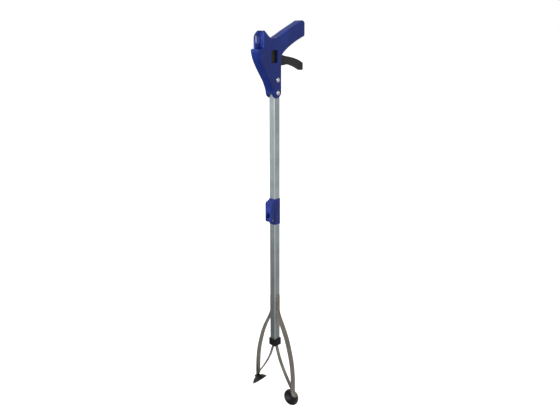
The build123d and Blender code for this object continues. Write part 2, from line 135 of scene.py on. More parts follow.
def mix(tree, fac, one, two, blend="MIX"):
    """Blends two colours; each argument is a value or another node's output."""
    node = add_node(tree, "ShaderNodeMix", data_type="RGBA", blend_type=blend)
    for socket, value in ((node.inputs[0], fac), (node.inputs[6], one), (node.inputs[7], two)):
        if isinstance(value, (int, float, tuple)):
            socket.default_value = value
        else:
            tree.links.new(value, socket)
    return node.outputs[2]


def spread(tree, fac, low, high, source=(0.3, 0.7)):
    """Maps a factor's source range to the range low to high."""
    node = add_node(tree, "ShaderNodeMapRange")
    node.inputs["From Min"].default_value, node.inputs["From Max"].default_value = source
    node.inputs["To Min"].default_value = low
    node.inputs["To Max"].default_value = high
    tree.links.new(fac, node.inputs["Value"])
    return node.outputs["Result"]


def bumps(tree, shader, heights):
    """Chains bump maps, each given as (height, distance in metres, strength)."""
    normal = None
    for height, distance, strength in heights:
        bump = add_node(tree, "ShaderNodeBump", Distance=distance, Strength=strength)
        tree.links.new(height, bump.inputs["Height"])
        if normal is not None:
            tree.links.new(normal, bump.inputs["Normal"])
        normal = bump.outputs["Normal"]
    tree.links.new(normal, shader.inputs["Normal"])


def start_material(name, **sockets):
    """Material with values on its shader, and the coordinates that its patterns use."""
    material = bpy.data.materials.new(name)
    material.use_nodes = True
    tree = material.node_tree
    shader = next(n for n in tree.nodes if n.type == "BSDF_PRINCIPLED")
    for key, value in sockets.items():
        shader.inputs[key.replace("_", " ")].default_value = value
    coords = add_node(tree, "ShaderNodeTexCoord").outputs["Object"]
    return material, tree, shader, coords


def edge_mask(tree, low, high):
    """1 on worn outer edges, 0 elsewhere."""
    geometry = add_node(tree, "ShaderNodeNewGeometry")
    return spread(tree, geometry.outputs["Pointiness"], 0.0, 1.0, (low, high))


def moulded_plastic(name, colours, rough, grain, edge, specular):
    """Injection-moulded plastic: cloudy colour, fine spark-eroded grain, paler rubbed edges."""
    material, tree, shader, coords = start_material(name, IOR=1.49, Specular_IOR_Level=specular)
    cloud = noise_node(tree, coords, 22.0, detail=5)
    base = ramp(tree, cloud, [(0.3, colours[0]), (0.55, colours[1]), (0.75, colours[2])])
    flow = noise_node(tree, coords, 60.0, (1, 1, 0.25), 3)
    base = mix(tree, spread(tree, flow, 0.0, 0.22), base, colours[2])
    worn = edge_mask(tree, 0.52, 0.60)
    patch = noise_node(tree, coords, 90.0)
    worn = mix(tree, 1.0, worn, spread(tree, patch, 0.1, 0.8), "MULTIPLY")
    base = mix(tree, worn, base, edge)
    tree.links.new(base, shader.inputs["Base Color"])
    smudge = noise_node(tree, coords, 45.0, detail=6)
    tree.links.new(spread(tree, smudge, rough[0], rough[1]), shader.inputs["Roughness"])
    fine = noise_node(tree, coords, 2600.0, detail=2)
    wave = noise_node(tree, coords, 70.0, detail=1)
    bumps(tree, shader, [(fine, 0.00006, grain), (wave, 0.0004, 0.12)])
    return material


def painted_shade_towards_jaws(tree, coords, base):
    """Painted shade: darkens the tubes towards the jaws, from the starting height down to the full
    height.
    """
    # Colour of the painted shade, mixed in more strongly lower down the tube.
    colour, start, full = srgb(120, 125, 123), -0.3, -0.78
    split = add_node(tree, "ShaderNodeSeparateXYZ")
    tree.links.new(coords, split.inputs[0])
    return mix(tree, spread(tree, split.outputs["Z"], 0.9, 0.0, (full, start)), base, colour)


def painted_corner_highlights(tree, coords, base):
    """Painted highlight: the square tube is painted brighter along its four corners."""
    # Colour and band of the painted corner highlight.
    colour, band = srgb(238, 242, 241), (6.2 * MM, 7.1 * MM)
    split = add_node(tree, "ShaderNodeSeparateXYZ")
    tree.links.new(coords, split.inputs[0])
    reach = add_node(tree, "ShaderNodeMath", operation="MINIMUM")
    for socket, centre, slot in (("X", AXIS_X, 0), ("Y", 0.0, 1)):
        offset = add_node(tree, "ShaderNodeMath", operation="SUBTRACT")
        tree.links.new(split.outputs[socket], offset.inputs[0])
        offset.inputs[1].default_value = centre
        size = add_node(tree, "ShaderNodeMath", operation="ABSOLUTE")
        tree.links.new(offset.outputs[0], size.inputs[0])
        tree.links.new(size.outputs[0], reach.inputs[slot])
    return mix(tree, spread(tree, reach.outputs[0], 0.0, 0.85, band), base, colour)


def drawn_metal(name, colours, rough, streak, metallic=1.0, tube=False):
    """Drawn or rolled metal with long fine streaks along z, cloudy tarnish and scuffs."""
    material, tree, shader, coords = start_material(name, Metallic=metallic)
    across, along = 900.0, 6.0
    lines = noise_node(tree, coords, 1.0, (across, across, along), 3)
    cloud = noise_node(tree, coords, 28.0, detail=6)
    base = ramp(tree, cloud, [(0.3, colours[0]), (0.55, colours[1]), (0.8, colours[2])])
    base = mix(tree, spread(tree, lines, 0.0, streak), base, colours[0])
    if tube:
        # For the tubes: painted shade towards the jaws, then painted highlights along the four corners.
        base = painted_corner_highlights(tree, coords, painted_shade_towards_jaws(tree, coords, base))
    tree.links.new(base, shader.inputs["Base Color"])
    scuff = noise_node(tree, coords, 160.0, detail=8)
    both = mix(tree, 0.5, lines, scuff)
    tree.links.new(spread(tree, both, rough[0], rough[1]), shader.inputs["Roughness"])
    bumps(tree, shader, [(lines, 0.00002, 0.35), (cloud, 0.0002, 0.06)])
    return material


def rubber(name):
    """Black moulded rubber with a faint bloom, scattered dust specks and fine pores."""
    material, tree, shader, coords = start_material(name, IOR=1.52, Specular_IOR_Level=0.3)
    shader.inputs["Sheen Weight"].default_value = 0.04
    shader.inputs["Sheen Roughness"].default_value = 0.35
    cloud = noise_node(tree, coords, 85.0, detail=6)
    stops = [(0.35, srgb(7, 7, 10)), (0.6, srgb(12, 12, 17)), (0.8, srgb(22, 23, 31))]
    base = ramp(tree, cloud, stops)
    specks = noise_node(tree, coords, 1100.0, detail=2)
    base = mix(tree, spread(tree, specks, 0.0, 0.35, (0.62, 0.75)), base, srgb(52, 53, 60))
    tree.links.new(base, shader.inputs["Base Color"])
    tree.links.new(spread(tree, cloud, 0.28, 0.5), shader.inputs["Roughness"])
    bumps(tree, shader, [(specks, 0.00005, 0.3), (cloud, 0.0003, 0.12)])
    return material


BLUE = moulded_plastic(
    "blue_plastic", [srgb(9, 30, 104), srgb(13, 39, 122), srgb(22, 52, 142)],
    (0.26, 0.42), 0.3, srgb(60, 80, 178), 0.36,
)
BLACK = moulded_plastic(
    "black_plastic", [srgb(26, 27, 28), srgb(38, 38, 39), srgb(54, 53, 52)],
    (0.34, 0.58), 0.9, srgb(86, 85, 80), 0.4,
)
CAP_BLACK = moulded_plastic(
    "cap_plastic", [srgb(6, 6, 7), srgb(9, 9, 10), srgb(15, 15, 17)],
    (0.3, 0.5), 0.4, srgb(52, 52, 54), 0.2,
)
TUBE_METAL = drawn_metal(
    "anodised_tube", [srgb(160, 170, 174), srgb(186, 196, 200), srgb(210, 218, 221)],
    (0.26, 0.4), 0.5, 0.9, tube=True,
)
RIVET_METAL = drawn_metal(
    "rivet_aluminium", [srgb(198, 200, 204), srgb(224, 226, 228), srgb(240, 240, 240)],
    (0.16, 0.34), 0.25,
)
STEEL = drawn_metal(
    "bright_steel", [srgb(120, 120, 122), srgb(158, 158, 160), srgb(188, 188, 188)],
    (0.22, 0.42), 0.4,
)
SPRING = drawn_metal(
    "spring_steel", [srgb(118, 114, 106), srgb(146, 141, 131), srgb(174, 167, 155)],
    (0.3, 0.5), 0.4, 0.75,
)


# ---- meshes ----------------------------------------------------------------------------------

def mesh_object(name, verts, faces, smooth_angle=32):
    """New object from points in millimetres."""
    mesh = bpy.data.meshes.new(name)
    mesh.from_pydata([at(*v) for v in verts], [], faces)
    obj = bpy.data.objects.new(name, mesh)
    scene.collection.objects.link(obj)
    clean(obj, smooth_angle)
    return obj


def clean(obj, smooth_angle=32):
    """Closed, outward-facing, smooth-shaded up to an angle."""
    work = bmesh.new()
    work.from_mesh(obj.data)
    bmesh.ops.remove_doubles(work, verts=work.verts, dist=MERGE)
    bmesh.ops.recalc_face_normals(work, faces=work.faces)
    for face in work.faces:
        face.smooth = True
    work.to_mesh(obj.data)
    work.free()
    obj.data.set_sharp_from_angle(angle=math.radians(smooth_angle))
    obj.data.update()


def apply_modifiers(obj, smooth_angle=32):
    """Bakes an object's modifiers into its mesh."""
    graph = bpy.context.evaluated_depsgraph_get()
    mesh = bpy.data.meshes.new_from_object(obj.evaluated_get(graph))
    obj.modifiers.clear()
    obj.data = mesh
    clean(obj, smooth_angle)


def boolean(obj, cutters, operation="DIFFERENCE"):
    """Cuts the cutters out of an object, or joins them to it, and removes them."""
    for cutter in cutters:
        modifier = obj.modifiers.new("cut", "BOOLEAN")
        modifier.operation = operation
        modifier.solver = "EXACT"
        modifier.object = cutter
    apply_modifiers(obj)
    for cutter in cutters:
        bpy.data.objects.remove(cutter)


def soften(obj, width, segments=2, angle=40, smooth_angle=32):
    """Rounds every edge sharper than the angle by a width in millimetres."""
    work = bmesh.new()
    work.from_mesh(obj.data)
    bmesh.ops.remove_doubles(work, verts=work.verts, dist=MERGE)
    flat = math.radians(1.0)
    bmesh.ops.dissolve_limit(work, angle_limit=flat, verts=work.verts, edges=work.edges)
    work.to_mesh(obj.data)
    work.free()
    modifier = obj.modifiers.new("soft", "BEVEL")
    modifier.width = width * MM
    modifier.segments = segments
    modifier.limit_method = "ANGLE"
    modifier.angle_limit = math.radians(angle)
    modifier.use_clamp_overlap = True
    apply_modifiers(obj, smooth_angle)


def dress(obj, material, body=None, nodes=()):
    """Gives a piece its material, body and the CAD nodes it stands for."""
    obj.data.materials.clear()
    obj.data.materials.append(material)
    if body:
        even = obj.modifiers.new("even_normals", "WEIGHTED_NORMAL")
        even.keep_sharp = True
        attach(obj, body)
    if nodes:
        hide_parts(*nodes)
    return obj


def carried(name, node, width):
    """Copy of a CAD node with its hard edges rounded by a width, or as it is for a width of 0."""
    obj = bpy.data.objects.new(name, NODES[node].data.copy())
    scene.collection.objects.link(obj)
    if width:
        soften(obj, width)
    else:
        clean(obj)
    return obj


def revolve(name, profile, place=Matrix.Identity(4), steps=48):
    """Turned piece: profile of (radius, height) from axis to axis, placed by a matrix in mm."""
    verts, faces = [], []
    for radius, height in profile:
        for k in range(steps):
            turn = 2 * math.pi * k / steps
            verts.append(place @ Vector((radius * math.cos(turn), radius * math.sin(turn), height)))
    rings = len(profile)
    for ring in range(rings - 1):
        for k in range(steps):
            a, b = ring * steps + k, ring * steps + (k + 1) % steps
            faces.append((a, b, b + steps, a + steps))
    return mesh_object(name, verts, faces)


def smooth_line(points, per_span=8, closed=False):
    """Catmull-Rom curve through 2D points."""
    out = []
    count = len(points)
    spans = count if closed else count - 1
    for i in range(spans):
        if closed:
            p = [points[(i + k - 1) % count] for k in range(4)]
        else:
            p = [points[max(0, min(count - 1, i + k - 1))] for k in range(4)]
        for s in range(per_span):
            t = s / per_span
            out.append(tuple(
                0.5 * (2 * b + (c - a) * t + (2 * a - 5 * b + 4 * c - d) * t * t
                       + (3 * b - a - 3 * c + d) * t ** 3)
                for a, b, c, d in zip(*p)
            ))
    if not closed:
        out.append(tuple(points[-1]))
    return out


def arc(cx, cz, radius, start, end, steps=10):
    """Points on an arc, angles in degrees."""
    out = []
    for k in range(steps + 1):
        turn = math.radians(start + (end - start) * k / steps)
        out.append((cx + radius * math.cos(turn), cz + radius * math.sin(turn)))
    return out


def outline(*parts):
    """Joins runs of points, dropping repeats."""
    same = 0.05
    out = []
    for part in parts:
        for point in part:
            if not out or math.dist(out[-1], point) > same:
                out.append(tuple(point))
    if math.dist(out[0], out[-1]) < same:
        out.pop()
    return out


def inset(points, distance):
    """Moves a closed outline inwards along its corner normals, which sharp corners stretch a little."""
    sharpest = 0.55
    area = sum(a[0] * b[1] - b[0] * a[1] for a, b in zip(points, points[1:] + points[:1]))
    side = 1 if area > 0 else -1
    out = []
    for i, point in enumerate(points):
        before, after = Vector(points[i - 1]), Vector(points[(i + 1) % len(points)])
        here = Vector(point)
        one, two = (here - before).normalized(), (after - here).normalized()
        n1, n2 = Vector((-one.y, one.x)) * side, Vector((-two.y, two.x)) * side
        normal = (n1 + n2).normalized()
        reach = distance / max(sharpest, normal.dot(n1))
        out.append(tuple(here + normal * reach))
    return out


def slab(name, points, stations):
    """Plate with an (x, z) outline, built from (inset, y) stations."""
    verts, faces = [], []
    count = len(points)
    for amount, y in stations:
        ring = inset(points, amount) if amount else points
        verts += [(x, y, z) for x, z in ring]
    for s in range(len(stations) - 1):
        for k in range(count):
            a, b = s * count + k, s * count + (k + 1) % count
            faces.append((a, b, b + count, a + count))
    faces.append(tuple(range(count)))
    last = (len(stations) - 1) * count
    faces.append(tuple(range(last, last + count)))
    return mesh_object(name, verts, faces)


def rounded(y0, y1, r0, r1, steps=6):
    """Stations of a plate from y0 to y1 with rims rounded by r0 and r1."""
    out = []
    for k in range(steps + 1):
        turn = math.pi / 2 * k / steps
        out.append((r0 * (1 - math.sin(turn)), y0 + r0 * (1 - math.cos(turn))))
    for k in range(steps + 1):
        turn = math.pi / 2 * k / steps
        out.append((r1 * (1 - math.cos(turn)), y1 - r1 * (1 - math.sin(turn))))
    return out


def block(name, x0, x1, y0, y1, z0, z1):
    return slab(name, [(x0, z0), (x1, z0), (x1, z1), (x0, z1)], [(0, y0), (0, y1)])


def disc(name, x, z, radius, y0, y1):
    sides = 48
    rim = arc(x, z, radius, 0, 360 - 360 / sides, sides - 1)
    return slab(name, rim, [(0, y0), (0, y1)])


# ---- handle ----------------------------------------------------------------------------------

EAR_BACK = box_mm("near_handle_shell")[0][0]
EAR_HALF = 2.25         # half the thickness of the ear
EYE = (EAR_BACK + 7.1, -15.0)
EYE_R = 4.4
EYE_REACH = 4.6         # from the eye's middle to the centre of each round end
HALF = 12.0             # half the thickness of the handle
FRONT = 9.6
SHELL_WALL = 2.3
CHANNEL = 8.0           # half the width of the channel that holds the tube
BELOW = -140.0          # lower than the handle's end
PIVOT = (-41.0, -48.0)  # axis of the trigger
WAY_HALF = 6.9          # half the width of the trigger's way through the handle
HANDLE_RIVETS = [(-1.0, -95.0), (-1.0, -121.0)]
SCREW_SPOTS = [(66.0, 6.0), (32.0, -8.5), (-23.0, -19.0), (-22.0, -88.0)]
WELL_R = 3.2            # wells of the screws' heads


def handle_outline():
    """Side view of the thick part of the handle, anticlockwise from the spine's lower end."""
    back = smooth_line(
        [(-15.6, -119.5), (-17.3, -113), (-24, -98), (-34, -83), (-43, -69), (-50.5, -55),
         (-54.4, -43), (EAR_BACK, -37.2)], 8)
    shelf = arc(EAR_BACK + 4.0, -37.0, 4.0, 180, 90, 8)
    dish = arc(-46.5, -27, 6, -90, 0, 10)
    head = arc(-36, -3, 4.5, 180, 90, 8)
    notch = smooth_line([(-36, 1.5), (-31, -3.0), (-25, -8.6), (-18.5, -12.3)], 6)
    throat = arc(-15.5, -9.2, 3.4, -110, -84, 3) + [(-6, -12.55)]
    top = smooth_line([(-3, -12.2), (11, -6), (25, 1.2), (40, 8), (54, 14.5), (63, 18.7)], 7)
    end = arc(71.2, 15.0, 6.8, 114, 0, 12) + arc(73.5, -6.3, 4.5, 0, -70, 7)
    under = smooth_line([(73.2, -10.9), (53, -19.4), (32, -30.4), (19, -39.6), (FRONT + 0.5, -47.4)], 9)
    bottom = arc(-3, -119.5, 12.6, 0, -180, 28)
    return outline(back, shelf, dish, head, notch, throat, top, end, under, [(FRONT, -49)], bottom)


def cavity_outline():
    """Inside of the shells' wall, about SHELL_WALL inside the outline."""
    back = smooth_line(
        [(-13.2, -119.5), (-15, -112.5), (-21.8, -97), (-31.9, -81.8), (-41, -67.8), (-48.3, -54.1),
         (-51.8, -43.5), (-53, -38.2)], 4)
    dish = [(-52.0, -35.6)] + arc(-46.5, -27, 8.4, -90, 0, 8)
    head = [(-38.1, -4.0), (-37.2, -1.6), (-35.6, -1.4), (-32.4, -4.8), (-26.4, -10.6), (-19.2, -14.7)]
    throat = [(-15.5, -14.9), (-5.4, -14.9)]
    top = smooth_line([(-2.2, -14.4), (12, -8.1), (26, -0.9), (41, 5.9), (54.8, 12), (69.6, 18)], 4)
    end = arc(71.2, 15.0, 4.4, 100, 0, 6) + arc(73.2, -6.1, 2.4, 0, -70, 4)
    under = smooth_line([(72.6, -8.2), (54, -17.1), (33.4, -28.1), (20.4, -37.4), (11.4, -45)], 5)
    bottom = arc(-3, -119.5, 10.2, 0, -180, 16)
    return outline(back, dish, head, throat, top, end, under, [(7.3, -49)], bottom)


def ear_outline():
    """Side view of the thin ear; its right side is buried in the thick part."""
    crown = smooth_line(
        [(EAR_BACK, -15), (EAR_BACK + 0.5, -10), (-52.6, -5.2), (-48.2, -1.2), (-43, 0.9),
         (-38.5, 1.45), (-36.5, 1.5)], 7)
    buried = [(-30.5, -4.5), (-29.5, -27), (-36.5, -34.2)]
    return outline([(EAR_BACK, -34.6), (EAR_BACK, -25)], crown, buried)


def eye_outline():
    x, z = EYE
    top = arc(x, z + EYE_REACH, EYE_R, 0, 180, 16)
    return outline(top, arc(x, z - EYE_REACH, EYE_R, 180, 360, 16))


def handle_shell(name):
    """Near half of the handle: rounded outer rim, hollow inside, thin ear, cut-outs."""
    shell = slab(name, handle_outline(), rounded(-HALF, 0, 3.3, 0.3, 8))
    cavity = slab("cavity", cavity_outline(), [(0, -HALF + SHELL_WALL), (0, 1)])
    boolean(cavity, [block("solid", -13, 22, -20, 3, BELOW, TUBE_TOP)])
    boolean(shell, [cavity])
    ear = slab("ear", ear_outline(), rounded(-EAR_HALF, 0, 1.3, 0.2, 4))
    boolean(shell, [ear], "UNION")
    window = [(-20.3, -61), (-2.8, -61), (-2.8, -36), (-17.3, -36), (-20.3, -38.6)]
    way = [(3, -68.2), (15, -68.2), (46, -29), (46, -12), (3, -20)]
    cutters = [
        slab("eye", eye_outline(), [(0, -4), (0, 1)]),
        block("channel", -CHANNEL, CHANNEL, -CHANNEL, 1, BELOW, TUBE_TOP),
        block("gap", -25, -7.9, -CHANNEL, 1, BELOW, -123),
        slab("window", window, [(0, -HALF - 1), (0, -HALF + SHELL_WALL + 1)]),
        slab("way", way, [(0, -WAY_HALF), (0, 1)]),
    ]
    boolean(shell, cutters)
    soften(shell, 0.45, 2, 50)
    return shell


def pivot_boss(name, side):
    """Low round boss with a dimple where the trigger's pin is held."""
    profile = [
        (0, 0.35), (1.5, 0.35), (1.9, 0.55), (2.2, 0.95), (3.9, 0.9), (4.5, 0.6), (4.8, 0.0),
        (4.9, -0.8), (0, -0.8),
    ]
    turn = Matrix.Rotation(math.radians(-90 * side), 4, "X")
    place = Matrix.Translation((PIVOT[0], side * HALF, PIVOT[1])) @ turn
    return revolve(name, profile, place)


def rivet_profile(head, dome, shank, grip):
    """Blind rivet: domed flange with the broken mandrel down its middle, and its swelled tail."""
    return [
        (0, dome * 0.45), (head * 0.17, dome * 0.42), (head * 0.2, dome * 0.4),
        (head * 0.22, dome * 0.85), (head * 0.3, dome), (head * 0.45, dome * 0.97),
        (head * 0.65, dome * 0.78), (head * 0.82, dome * 0.5), (head * 0.95, dome * 0.22),
        (head, dome * 0.06), (head * 0.985, 0), (shank, 0), (shank, -grip),
        (shank + 0.7, -grip - 0.5), (shank + 0.6, -grip - 1.3), (shank * 0.6, -grip - 2.0),
        (0, -grip - 2.1),
    ]


def side_rivets(name, spots, face, head, dome, grip, sides):
    """Rivets along y at (x, z) spots, with their heads on the planes y = side times face."""
    shank, parts = 2.4, []
    for side in sides:
        for k, (x, z) in enumerate(spots):
            turn = Matrix.Rotation(math.radians(-90 * side), 4, "X")
            place = Matrix.Translation((x, side * face, z)) @ turn
            profile = rivet_profile(head, dome, shank, grip)
            parts.append(revolve(f"{name}_{side}_{k}", profile, place, 40))
    return join(name, parts)


def join(name, parts):
    """One piece from several."""
    work = bmesh.new()
    for part in parts:
        work.from_mesh(part.data)
    mesh = bpy.data.meshes.new(name)
    work.to_mesh(mesh)
    work.free()
    obj = bpy.data.objects.new(name, mesh)
    scene.collection.objects.link(obj)
    for part in parts:
        bpy.data.objects.remove(part)
    clean(obj)
    return obj


def mirrored(obj, name):
    """Copy on the other side of the plane y = 0."""
    mesh = obj.data.copy()
    mesh.transform(Matrix.Scale(-1, 4, (0, 1, 0)))
    mesh.flip_normals()
    twin = bpy.data.objects.new(name, mesh)
    scene.collection.objects.link(twin)
    return twin


near_shell = handle_shell("handle_near")
far_shell = mirrored(near_shell, "handle_far")
boolean(far_shell, [disc("well", x, z, WELL_R, HALF - 3, HALF + 1) for x, z in SCREW_SPOTS])
near_shell = join("handle_near_half", [near_shell, pivot_boss("boss_near", -1)])
far_shell = join("handle_far_half", [far_shell, pivot_boss("boss_far", 1)])
dress(near_shell, BLUE, "handle", ["near_handle_shell"])
dress(far_shell, BLUE, "handle", ["far_handle_shell"])
handle_rivets = side_rivets("handle_rivet_set", HANDLE_RIVETS, HALF, 4.6, 1.9, 5.2, (-1, 1))
dress(handle_rivets, RIVET_METAL, "handle", ["handle_rivets"])


# ---- trigger ---------------------------------------------------------------------------------

TRIGGER_HALF = 6.3      # half the thickness of the trigger
FORK_HALF = 2.4         # half the gap that the pull rod's end sits in


def trigger_outline():
    """Side view of the trigger, round the hub, out along the top to the nose and back."""
    hub = arc(PIVOT[0], PIVOT[1], 7.4, 250, 98, 18)
    over = smooth_line([(-31, -38), (-19, -34.8), (-4, -34.8), (FRONT, -43.2)], 6)
    top = smooth_line(
        [(FRONT, -43.2), (24, -47.6), (39, -50.2), (55, -53.6), (68, -58.0), (76.2, -62.0)], 7)
    nose = arc(75.6, -65.4, 3.4, 60, 0, 5) + arc(75.8, -75.6, 3.2, 0, -110, 8)
    under = smooth_line([(74, -78.6), (60, -72.2), (46, -67.6), (34, -65.6), (25, -66.3)], 7)
    belly = smooth_line([(25, -66.3), (17, -67.2), (6, -66.6), (-20, -63), (-38, -55.8)], 6)
    return outline(hub, over, top, nose, under, belly)


def trigger_piece():
    piece = slab("trigger_lever", trigger_outline(), rounded(-TRIGGER_HALF, TRIGGER_HALF, 1.9, 1.9))
    boolean(piece, [block("clevis", -8.5, 4.5, -FORK_HALF, FORK_HALF, -72, -48)])
    soften(piece, 0.3, 2, 50)
    return piece


dress(trigger_piece(), BLACK, "trigger", ["trigger"])


# ---- tubes -----------------------------------------------------------------------------------

def rounded_square(half, corner, steps=7):
    """Points of a square with round corners."""
    out = []
    middle = half - corner
    for k, (sx, sy) in enumerate(((1, 1), (-1, 1), (-1, -1), (1, -1))):
        out += arc(sx * middle, sy * middle, corner, 90 * k, 90 * k + 90, steps)
    return out


def tube_wall(name, stations, rings):
    """Closed wall from rings of (x, y) points at heights, where the last ring meets the first."""
    count = len(rings[0])
    verts = [(x, y, z) for ring, z in zip(rings, stations) for x, y in ring]
    faces = []
    for s in range(len(stations)):
        t = (s + 1) % len(stations)
        for k in range(count):
            m = (k + 1) % count
            faces.append((s * count + k, s * count + m, t * count + m, t * count + k))
    return mesh_object(name, verts, faces)


def tube_piece(name, node):
    """Square tube whose sawn ends are slightly broken."""
    low, high = box_mm(node)
    bottom, top, edge = low[2], high[2], 0.25
    half = (high[0] - low[0]) / 2
    inner = half - TUBE_WALL
    steps = [
        (bottom + edge, half), (top - edge, half), (top, half - edge), (top, inner + edge),
        (top - edge, inner), (bottom + edge, inner), (bottom, inner + edge), (bottom, half - edge),
    ]
    rings = [rounded_square(size, TUBE_CORNER - (half - size)) for _, size in steps]
    return tube_wall(name, [z for z, _ in steps], rings)


for name, node, body in (
    ("tube_upper", "upper_tube", "handle"), ("tube_lower", "lower_tube", "lower_section"),
):
    dress(tube_piece(name, node), TUBE_METAL, body, [node])


# ---- carried-over pieces with softened edges -------------------------------------------------

CARRIED = [
    ("hinge_block_upper", "upper_hinge_block", "handle", BLUE, "blue_plastic", 0.5),
    ("hinge_block_lower", "lower_hinge_block", "lower_section", BLUE, "blue_plastic", 0.4),
    ("cap_lower", "end_cap", "lower_section", CAP_BLACK, "black_plastic", 0.5),
    ("fork_of_rod", "rod_fork", "lower_rod", BLACK, "black_plastic", 0.3),
    ("guide_upper", "upper_rod_guide", "handle", BLACK, "black_plastic", 0.2),
    ("guide_lower", "lower_rod_guide", "lower_section", BLACK, "black_plastic", 0.2),
    ("screws_of_shell", "shell_screws", "handle", STEEL, "steel", 0.15),
    ("pin_of_hinge", "hinge_pin", "handle", STEEL, "steel", 0.2),
    ("pin_of_trigger", "trigger_pin", "handle", STEEL, "steel", 0.2),
    ("pin_of_rod", "rod_pin", "trigger", STEEL, "steel", 0.15),
    ("pins_of_fork", "fork_pins", "lower_rod", STEEL, "steel", 0.1),
    ("rod_upper", "upper_pull_rod", "upper_rod", STEEL, "steel", 0.2),
    ("rod_lower", "lower_pull_rod", "lower_rod", STEEL, "steel", 0.2),
    ("ferrule_upper", "upper_ferrule", "upper_rod", STEEL, "steel", 0.2),
    ("ferrule_lower", "lower_ferrule", "lower_rod", STEEL, "steel", 0.2),
    ("spring_of_detent", "detent_spring", "handle", STEEL, "steel", 0.0),
]
for name, node, body, material, slot_name, width in CARRIED:
    dress(carried(name, node, width), material, body, [node])


BLOCK_FACE = 9.3        # front of the hinge blocks


def front_rivet(name, node, body):
    low, high = box_mm(node)
    turn = Matrix.Rotation(math.radians(90), 4, "Y")
    place = Matrix.Translation((BLOCK_FACE, 0, (low[2] + high[2]) / 2)) @ turn
    piece = revolve(name, rivet_profile(3.4, 1.4, 1.9, 2.5), place, 36)
    return dress(piece, RIVET_METAL, body, [node])


front_rivet("rivet_hinge_upper", "upper_hinge_rivet", "handle")
front_rivet("rivet_hinge_lower", "lower_hinge_rivet", "lower_section")


# ---- jaws ------------------------------------------------------------------------------------

def strip(name, line, width_at, thick, edge=0.3):
    """Sheet-metal strip that follows a (y, z) line, with slightly rounded edges."""
    verts, faces = [], []
    count = len(line)
    for i, (y, z) in enumerate(line):
        before, after = line[max(0, i - 1)], line[min(count - 1, i + 1)]
        along = (Vector(after) - Vector(before)).normalized()
        side = Vector((-along.y, along.x))
        half = max(0.4, width_at(i) / 2)
        cut = min(edge, thick * 0.45)
        section = [
            (-half + cut, -thick / 2), (half - cut, -thick / 2), (half, -thick / 2 + cut),
            (half, thick / 2 - cut), (half - cut, thick / 2), (-half + cut, thick / 2),
            (-half, thick / 2 - cut), (-half, -thick / 2 + cut),
        ]
        verts += [(x, y + side.x * s, z + side.y * s) for x, s in section]
    for i in range(count - 1):
        for k in range(8):
            a, b = i * 8 + k, i * 8 + (k + 1) % 8
            faces.append((a, b, b + 8, a + 8))
    faces.append(tuple(range(8)))
    faces.append(tuple(range((count - 1) * 8, count * 8)))
    return mesh_object(name, verts, faces, 40)


def lengths(line):
    """How far along a line each of its points is."""
    total, out = 0.0, [0.0]
    for a, b in zip(line, line[1:]):
        total += math.dist(a, b)
        out.append(total)
    return out


def end_round(distance, radius, width):
    """Width of a strip near a rounded end."""
    if distance >= radius:
        return width
    return width - 2 * (radius - math.sqrt(max(0.0, radius ** 2 - (radius - distance) ** 2)))


ARM_WIDTH, ARM_THICK = 13.5, 1.1
ARM_Y = 8.55            # middle of the arm's leaf on the tube
ARM_RIVETS = [(0.0, -573.0), (0.0, -600.0)]
ARM_HINGE = (40.0, -675.0)      # where the arm's bending is taken together
CREASE = (58.0, -794.0)         # where the arm bends into its foot
LEAN = math.radians(45)         # of the foot and its cup
FOOT = (CREASE[0] + 13 * math.sin(LEAN), CREASE[1] - 13 * math.cos(LEAN))
FORK_PIN = (2.2, -683.5)
CURL_R = 1.38           # of the inner strip's rolled end, to the middle of its thickness


def arm_line():
    """Middle of the far arm: flat on the tube, bowed out, and bent in at the foot."""
    heights = (-567.0, -567.15, -567.5, -568.2, -569.2, -570.5, -572.0, -576, -584, -592, -600)
    leaf = [(ARM_Y, z) for z in heights]
    curve = smooth_line(
        [(ARM_Y, -605), (9.5, -611.5), (14.0, -622), (22.2, -637), (31.8, -655.5), ARM_HINGE,
         (47.6, -700), (52.8, -721), (56.2, -744), (57.8, -768), (58.0, -791.5)], 9)
    bend = [(58.15, -793.2), (58.75, -794.6)]
    toe = [(CREASE[0] + (FOOT[0] - CREASE[0]) * t, CREASE[1] + (FOOT[1] - CREASE[1]) * t)
           for t in (0.12, 0.3, 0.45, 0.53, 0.6, 0.68, 0.76, 0.84, 0.9, 0.95, 0.98, 0.995, 1.0)]
    return leaf + curve + bend + toe


def arm_piece(name):
    line = arm_line()
    along = lengths(line)
    total = along[-1]

    def width_at(i):
        top = end_round(along[i], 5.0, ARM_WIDTH)
        return min(top, end_round(total - along[i], 6.2, ARM_WIDTH))

    return strip(name, line, width_at, ARM_THICK)


def inner_strip_piece(name):
    """Narrow strip: rolled round the fork's pin, bowed, with its tip bent parallel to the arm."""
    y, z = FORK_PIN
    curl = [(y + CURL_R * math.cos(math.radians(a)), z + CURL_R * math.sin(math.radians(a)))
            for a in range(250, -100, -14)]
    bow = smooth_line(
        [(y - 0.3, z - 1.35), (3.4, -690), (7.6, -704), (16.2, -727), (29, -750.5), (42.5, -771),
         (53.6, -785.6), (55.3, -788.2)], 8)
    line = curl + bow[2:]
    along = lengths(line)
    total = along[-1]
    return strip(name, line, lambda i: end_round(total - along[i], 3.0, 9.0), 0.8, 0.22)


def cup_place():
    """Middle of the far foot, with z out of its inner face."""
    middle = (0, CREASE[0] + 7 * math.sin(LEAN), CREASE[1] - 7 * math.cos(LEAN))
    return Matrix.Translation(middle) @ Matrix.Rotation(math.pi - LEAN, 4, "X")


